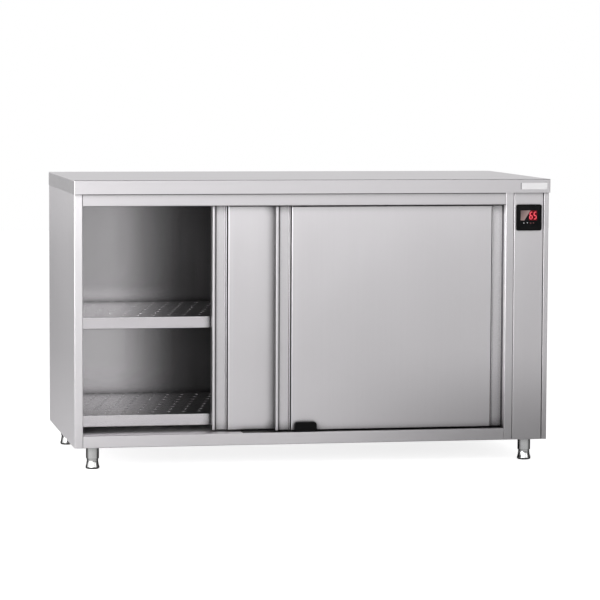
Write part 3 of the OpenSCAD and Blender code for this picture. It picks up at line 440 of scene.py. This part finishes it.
finishes = {
    "steelUpright": sheetMetal("satin steel, upright grain", steelTone, 0.36, upright, spread=0.6, paintedShading=True),
    # painted light: the post's faces that look sideways are painted 1.6 times lighter, and less crevice shade
    # is painted on it
    "steelPost": sheetMetal("satin steel of the right post", steelTone, 0.34, upright, spread=0.6, flank=1.6,
                            darkest=0.85, paintedShading=True),
    "linerBack": gradedBack("lining steel of the back", linerTone, 0.22),
    # painted shade: the shelves are lining steel given a darker tone
    "shelfSteel": perforatedSheet("lining steel of the shelves", (0.26, 0.25, 0.26), 0.22),
    "legSteel": turnedSteel("polished steel of the legs"),
    "steelLengthwise": sheetMetal("satin steel, lengthwise grain", steelTone, 0.36, lengthwise, spread=0.5,
                                  paintedShading=True),
    # less crevice shade is painted on the sill than on the other steel
    "steelSill": sheetMetal("satin steel of the sill", steelTone, 0.36, lengthwise, spread=0.5, darkest=0.75,
                            paintedShading=True),
    "linerUpright": sheetMetal("lining steel, upright grain", linerTone, 0.22, upright, 0.04, 0.04, spread=0.3),
    # painted shade and light: this lining steel is given a darker tone, and its faces that look forwards are
    # painted 2.1 times lighter
    "linerLengthwise": sheetMetal("lining steel, lengthwise grain", (0.34, 0.33, 0.34), 0.22, lengthwise,
                                  0.08, 0.12, spread=0.3, front=2.1),
    # painted shade: the door edges' faces that look sideways are painted dark
    "steelDoorEdge": sheetMetal("satin steel of the door edges", steelTone, 0.36, upright, spread=0.6,
                                flank=0.15, paintedShading=True),
    "polished": sheetMetal("polished steel tube", (0.74, 0.735, 0.74), 0.13, upright, 0.03, 0.03, 0.03),
    "zinc": sheetMetal("zinc-coated steel", (0.60, 0.61, 0.62), 0.45, (0.3, 0.3, 0.3), 0.12, 0.2),
    "fanAluminium": sheetMetal("fan aluminium", (0.70, 0.70, 0.70), 0.40, (0.4, 0.4, 0.4), 0.08, 0.1),
    "heater": sheetMetal("heater alloy", (0.30, 0.25, 0.21), 0.48, (0.4, 0.4, 0.4), 0.2, 0.3),
    "blackPlastic": moulded("black plastic", (0.002, 0.002, 0.0022), 0.50, 0.25, specular=0.1),
    "blackGloss": moulded("smoked window", (0.002, 0.002, 0.0025), 0.10, 0.0, specular=0.3),
    "whiteNylon": moulded("white nylon", (0.78, 0.77, 0.74), 0.40, 0.05),
    "blackRubber": moulded("black rubber", (0.018, 0.018, 0.018), 0.70, 0.4),
    "motorBlack": moulded("black motor enamel", (0.03, 0.03, 0.032), 0.38, 0.2),
    "whitePlastic": moulded("white moulding", (0.75, 0.75, 0.72), 0.45, 0.1),
    "coreBoard": moulded("core board", (0.42, 0.30, 0.19), 0.80, 0.5),
    "mineralWool": moulded("mineral wool", (0.50, 0.45, 0.30), 0.95, 0.8),
    "labelFoil": moulded("white label foil", (0.80, 0.79, 0.80), 0.35, 0.05),
    "labelBand": moulded("grey band of the label", (0.22, 0.21, 0.22), 0.40, 0.05),
    "plateAlloy": sheetMetal("rating plate alloy", (0.72, 0.72, 0.73), 0.42, lengthwise, 0.06, 0.06),
}


def glowing(name, colour, strength):   # a lit mark whose light is a little uneven
    made, tree, shader, place = newMaterial(name)
    cloud = node(tree, "ShaderNodeTexNoise", {"Vector": place, "Scale": 260, "Detail": 1}).outputs[0]
    level = node(tree, "ShaderNodeMapRange", {
        "Value": cloud, "From Min": 0.3, "From Max": 0.7, "To Min": 0.75}).outputs[0]
    shown = mixColour(tree, level, (0, 0, 0, 1), (*colour, 1))
    tree.links.new(shown, shader.inputs["Base Color"])
    tree.links.new(shown, shader.inputs["Emission Color"])
    shader.inputs["Emission Strength"].default_value = strength
    shader.inputs["Roughness"].default_value = 0.3
    return made


def displayGlass():   # smoky lens: a painted brown reflection on its left half, cut off on a slant, and a painted red glow at the right
    made, tree, shader, place = newMaterial("display lens")
    axes = node(tree, "ShaderNodeSeparateXYZ", {0: place}).outputs
    slant = maths(tree, "MULTIPLY_ADD", axes[2], -display["slope"])
    tree.links.new(axes[0], slant.node.inputs[2])   # X less a part of Z: equal along the slanted line
    edgeAt = (display["left"] + display["sheen"] - display["slope"] * display["bottom"]) * mm
    sheen = node(tree, "ShaderNodeMapRange", {
        "Value": slant, "From Min": edgeAt + 0.0012, "From Max": edgeAt - 0.0004}).outputs[0]
    rising = node(tree, "ShaderNodeMapRange", {
        "Value": slant, "From Min": edgeAt - 0.034, "From Max": edgeAt,
        "To Min": 0.22, "To Max": 1.0}).outputs[0]
    sheen = maths(tree, "MULTIPLY", sheen, rising)
    glow = node(tree, "ShaderNodeMapRange", {
        "Value": axes[0], "From Min": (digits["left"] - 2) * mm,
        "From Max": (digits["left"] + 1) * mm}).outputs[0]
    base = mixColour(tree, glow, (0.004, 0.003, 0.004, 1), (0.12, 0.002, 0.006, 1))
    tree.links.new(mixColour(tree, sheen, base, (0.34, 0.24, 0.23, 1)), shader.inputs["Base Color"])
    shader.inputs["Roughness"].default_value = 0.16
    shader.inputs["Specular IOR Level"].default_value = 0.3
    return made


nodeFinish = {
    "steelUpright": ["side_panel_left", "side_panel_right", "back_panel", "control_panel"],
    "steelPost": ["post_right"],
    "steelLengthwise": ["worktop", "base_panel", "top_rail", "leg_plates"],
    "steelSill": ["bottom_rail", "floor_panel"],
    "linerUpright": ["liner_left", "partition"],
    "linerBack": ["liner_back"],
    "linerLengthwise": ["liner_roof", "shelf_stiffeners", "shelf_supports"],
    "shelfSteel": ["shelf_upper", "shelf_lower"],
    "zinc": ["door_track", "air_duct"],
    "whitePlastic": ["terminal_block"],
    "polished": ["air_grille", "temperature_probe"],
    "legSteel": ["leg_tubes"],
    "fanAluminium": ["fan_wheel"],
    "heater": ["ring_heater"],
    "blackPlastic": ["controller_bezel", "controller_housing", "sill_strip", "door_guide", "safety_thermostat",
                     "cable_gland"],
    "blackGloss": ["controller_window"],
    "blackRubber": ["door_stops"],
    "motorBlack": ["fan_motor"],
    "coreBoard": ["worktop_core"],
    "mineralWool": ["insulation"],
}
nodeFinish["steelDoorEdge"] = []
for door in ("front", "rear"):
    nodeFinish["steelUpright"] += [f"{door}_door_face"]
    nodeFinish["steelDoorEdge"] += [f"{door}_door_handle_left", f"{door}_door_handle_right"]
    nodeFinish["linerUpright"] += [f"{door}_door_inner"]
    nodeFinish["mineralWool"] += [f"{door}_door_core"]
    nodeFinish["zinc"] += [f"{door}_door_hangers"]
    nodeFinish.setdefault("whiteNylon", []).extend([f"{door}_roller_left", f"{door}_roller_right"])
    nodeFinish["legSteel"] += [f"foot_{door}_left", f"foot_{door}_right"]

for finish, names in nodeFinish.items():
    for name in names:
        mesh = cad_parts[name].data
        mesh.materials.clear()
        mesh.materials.append(finishes[finish])
plain = set(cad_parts) - {name for names in nodeFinish.values() for name in names}
print("materials ready; without a finish:", sorted(plain))

# own pieces, millimetres until each mesh is made


def finishPiece(piece, finish, body):
    piece.data.materials.append(finish)
    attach(piece, body)
    return piece


def prism(outline, front, back):   # a flat plate: one outline in X and Z, closed at two depths along Y
    outline = np.asarray(outline, float)
    count = len(outline)
    ring = np.arange(count)
    after = (ring + 1) % count
    points = np.vstack([np.insert(outline, 1, y, axis=1) for y in (front, back)]) * mm
    sides = np.stack([ring, ring + count, after + count, after], 1).tolist()
    return points, [list(range(count)), list(range(2 * count - 1, count - 1, -1))] + sides


def roundedOutline(left, bottom, width, height, radius, steps=6):
    # four quarter circles, each from 90 degrees times its number, round the corners of the inner rectangle
    turn = np.radians(90 * np.arange(4)[:, None] + np.linspace(0, 90, steps))
    inner = np.array([[1, 1], [0, 1], [0, 0], [1, 0]]) * [width - 2 * radius, height - 2 * radius] + radius
    arcs = np.stack([np.cos(turn), np.sin(turn)], -1) * radius + inner[:, None]
    return arcs.reshape(-1, 2) + [left, bottom]


def outlineOf(plate):
    return roundedOutline(*(plate[key] for key in ("left", "bottom", "width", "height", "corner")))


def joined(parts):   # several (points, faces) pairs as one
    points, faces, start = [], [], 0
    for some, loops in parts:
        points.append(some)
        faces += [[i + start for i in loop] for loop in loops]
        start += len(some)
    return np.vstack(points), faces


display = {
    "left": 612.8, "bottom": 716.6, "width": 50.0, "height": 29.2, "corner": 1.2,
    "front": -341.47, "back": -341.3,   # a film on the smoked window
    "sheen": 11.0,       # where the slanted edge of the sheen meets the lens's bottom
    "slope": 0.62,       # how far that edge runs along X for each step up
}
digits = {
    "left": 638.8, "bottom": 719.4, "width": 9.6, "height": 22.6, "pitch": 12.2,
    "stroke": 2.6, "gap": 0.35, "lean": 0.07, "shown": "65",
    "front": -341.53, "back": -341.4,
}
segmentsOf = {"6": "acdefg", "5": "acdfg"}


def digitOutlines():
    # each segment is a bar with pointed ends; upright bars are the level ones turned, and all lean to the right
    w, h, t, g = digits["width"], digits["height"], digits["stroke"], digits["gap"]
    mids = {"a": (w / 2, h - t / 2, 0), "g": (w / 2, h / 2, 0), "d": (w / 2, t / 2, 0),
            "f": (t / 2, h * 0.75 - t / 4, 1),
            "e": (t / 2, h * 0.25 + t / 4, 1), "c": (w - t / 2, h * 0.25 + t / 4, 1)}
    for place, figure in enumerate(digits["shown"]):
        for key in segmentsOf[figure]:
            x, z, stands = mids[key]
            half = ((h / 2 - t / 2) if stands else (w - t)) / 2 - g
            bar = np.array([(-half, 0), (-half + t / 2, t / 2), (half - t / 2, t / 2),
                            (half, 0), (half - t / 2, -t / 2), (-half + t / 2, -t / 2)])
            bar = bar[:, ::-1] * [-1, 1] if stands else bar
            bar = bar + [x, z]
            bar[:, 0] += digits["left"] + place * digits["pitch"] + bar[:, 1] * digits["lean"]
            bar[:, 1] += digits["bottom"]
            yield bar[::-1]


icons = {
    "level": 709.2, "size": 4.2, "front": -341.47, "back": -341.35,
    "pale": (622.6, 633.4), "red": (643.0, 651.6),
}


def iconOutlines(kind):
    # pale icons: an arrow up and an arrow down; red ones: a ring drawn as an arc with a gap, and a bar
    size = icons["size"]
    if kind == "pale":
        arrow = np.array([(-0.5, -0.4), (0.5, -0.4), (0, 0.45)]) * size
        yield arrow + [icons["pale"][0], icons["level"]]
        yield (arrow * [1, -1])[::-1] + [icons["pale"][1], icons["level"]]
    else:
        turn = np.radians(np.linspace(-235, 55, 15))
        arc = np.stack([np.cos(turn), np.sin(turn)], 1)
        ring = np.vstack([arc * size * 0.5, arc[::-1] * size * 0.36])
        yield ring + [icons["red"][0], icons["level"]]
        yield roundedOutline(icons["red"][1] - size / 2, icons["level"] - size * 0.14, size, size * 0.28, 0.5)


def buildDisplay():
    lens = plainObject("display_lens", *prism(outlineOf(display), display["front"], display["back"]))
    finishPiece(lens, displayGlass(), "cabinet")
    lit = joined([prism(bar, digits["front"], digits["back"]) for bar in digitOutlines()])
    finishPiece(plainObject("display_digits", *lit), glowing("lit red segments", (0.85, 0.07, 0.10), 0.6),
                "cabinet")
    for kind, colour in (("pale", (0.42, 0.42, 0.44)), ("red", (0.30, 0.10, 0.11))):
        marks = joined([prism(mark, icons["front"], icons["back"]) for mark in iconOutlines(kind)])
        finishPiece(plainObject(f"display_marks_{kind}", *marks), glowing(f"{kind} marks", colour, 0.35),
                    "cabinet")
    print("display ready")


label = {
    "left": 610.0, "bottom": 808.0, "width": 80.5, "height": 19.0, "corner": 1.5,
    "front": -350.1, "back": -349.6,
    "band": 2.6,     # width of the grey band at the left end
}


def buildLabel():
    band = label["band"]
    plate = roundedOutline(label["left"] + band, label["bottom"], label["width"] - band, label["height"],
                           label["corner"])
    strip = roundedOutline(label["left"], label["bottom"], band, label["height"], 0.6)
    finishPiece(plainObject("label_plate", *prism(plate, label["front"], label["back"])),
                finishes["labelFoil"], "cabinet")
    finishPiece(plainObject("label_band", *prism(strip, label["front"], label["back"])),
                finishes["labelBand"], "cabinet")
    print("label ready")


backPlate = {
    "left": -560.0, "bottom": 660.0, "width": 96.0, "height": 52.0, "corner": 3.0,
    "front": 349.5, "back": 348.9,
}
screws = {
    "profile": [(0, 0.95), (0.7, 0.94), (1.6, 0.86), (2.5, 0.66), (3.2, 0.36), (3.5, 0.02), (3.5, -0.1),
                (0, -0.1)],
    "sides": 24,
    "recess": 0.55, "arm": 0.42, "reach": 1.9,   # depth, half width and reach of the cross
    "inset": 14, "across": 6, "up": 4,   # from the back sheet's edges, and how many along each edge
}


def screwHeads(places, outward):
    # the profile is carried round the screw's axis: a point is (radius cos a, radius sin a, height);
    # where it lies in either arm of the cross, its height drops by the recess
    radius, height = np.array(screws["profile"]).T
    turn = np.radians(np.arange(screws["sides"]) * 360 / screws["sides"])
    x = radius[1:-1, None] * np.cos(turn)
    y = radius[1:-1, None] * np.sin(turn)
    z = np.broadcast_to(height[1:-1, None], x.shape).copy()
    inCross = (np.minimum(np.abs(x), np.abs(y)) < screws["arm"]) & (np.hypot(x, y) < screws["reach"])
    z[inCross] -= screws["recess"]
    around = np.stack([x, y, z], -1).reshape(-1, 3)
    head = np.vstack([[(0, 0, height[0] - screws["recess"])], around, [(0, 0, height[-1])]])
    outward = np.array(outward, float)
    first = np.cross((0.3, 0.5, 0.8), outward)
    first /= np.linalg.norm(first)
    axes = np.stack([first, np.cross(outward, first), outward])
    points = (head @ axes)[None] + np.asarray(places, float)[:, None]
    rings, sides = x.shape
    grid = 1 + np.arange(rings * sides).reshape(rings, sides)
    after = np.roll(grid, -1, axis=1)
    quads = np.stack([grid[:-1], grid[1:], after[1:], after[:-1]], -1).reshape(-1, 4).tolist()
    tip, foot = 0, len(head) - 1
    fans = [[tip, i, j] for i, j in zip(grid[0].tolist(), after[0].tolist())]
    fans += [[foot, j, i] for i, j in zip(grid[-1].tolist(), after[-1].tolist())]
    return joined([(some * mm, quads + fans) for some in points])


def buildFasteners():
    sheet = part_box("back_panel")
    (x0, _, z0), (x1, back, z1) = (np.array(sheet[0]) / mm, np.array(sheet[1]) / mm)
    inset = screws["inset"]
    left, right, low, high = x0 + inset, x1 - inset, z0 + inset, z1 - inset
    across = np.linspace(left, right, screws["across"])
    up = np.linspace(low, high, screws["up"])[1:-1]
    spots = [(x, back, z) for z in (low, high) for x in across]
    spots += [(x, back, z) for x in (left, right) for z in up]
    heads = plainObject("back_screws", *screwHeads(spots, (0, 1, 0)), smooth=True)
    finishPiece(heads, finishes["zinc"], "cabinet")
    outline = outlineOf(backPlate)[::-1]
    plate = plainObject("rating_plate", *prism(outline, backPlate["front"], backPlate["back"]))
    finishPiece(plate, finishes["plateAlloy"], "cabinet")
    print("fasteners ready")


buildDisplay()
buildLabel()
buildFasteners()
